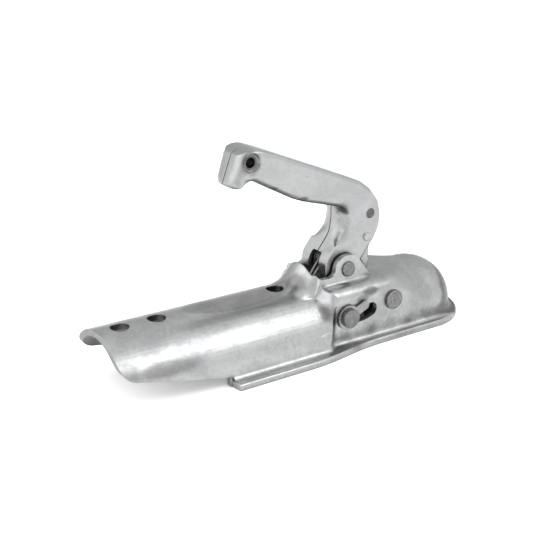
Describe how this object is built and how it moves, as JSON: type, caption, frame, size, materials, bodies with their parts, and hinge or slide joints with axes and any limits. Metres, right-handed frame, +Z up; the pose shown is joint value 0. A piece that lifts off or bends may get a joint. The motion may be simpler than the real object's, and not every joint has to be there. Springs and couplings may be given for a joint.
{
  "type": "trailer coupling head",
  "caption": "Pressed-steel trailer coupling head: domed ball socket, half-tube saddle with bolt holes for the drawbar and a lever handle that works the ball clamp.",
  "frame": {"origin": "centre of the tow ball in the socket", "axes": "+X forward towards the towing vehicle, +Y to the left, +Z up"},
  "size_m": [0.265, 0.084, 0.1336],
  "materials": {
    "zinc_body": "satin zinc plating",
    "zinc_handle": "matt zinc plating",
    "pin_steel": "turned, dull",
    "zinc_washer": "satin zinc plating",
    "spring_wire": "drawn wire",
    "jaw_steel": "dark forged"
  },
  "bodies": {
    "body": {"coupling_body": "zinc_body", "handle_pivot_pin": "pin_steel", "pivot_washer_left": "zinc_washer", "pivot_washer_right": "zinc_washer", "jaw_rivet": "pin_steel", "jaw_spacer_left": "zinc_washer", "jaw_spacer_right": "zinc_washer", "handle_spring": "spring_wire"},
    "handle": {"handle_shell": "zinc_handle", "pivot_bush": "pin_steel", "elbow_rivet": "pin_steel", "elbow_spacer": "zinc_washer", "grip_eyelet": "pin_steel", "locking_pin": "pin_steel", "locking_washer_left": "zinc_washer", "locking_washer_right": "zinc_washer", "locking_roller": "pin_steel", "locking_spacer_left": "zinc_washer", "locking_spacer_right": "zinc_washer"},
    "jaw": {"ball_clamp_jaw": "jaw_steel", "jaw_bush": "pin_steel"}
  },
  "joints": [
    {"name": "handle_hinge", "type": "hinge", "parent": "body", "child": "handle", "pos_m": [-0.0642, 0, 0.0395], "axis": [0, -1, 0], "range_deg": [0, 39]},
    {"name": "jaw_hinge", "type": "hinge", "parent": "body", "child": "jaw", "pos_m": [-0.0358, 0, 0.0165], "axis": [0, -1, 0], "range_deg": [0, 16]}
  ],
  "couplings": [
    {"joint": "jaw_hinge", "follows": "handle_hinge", "ratio": 0.41}
  ]
}
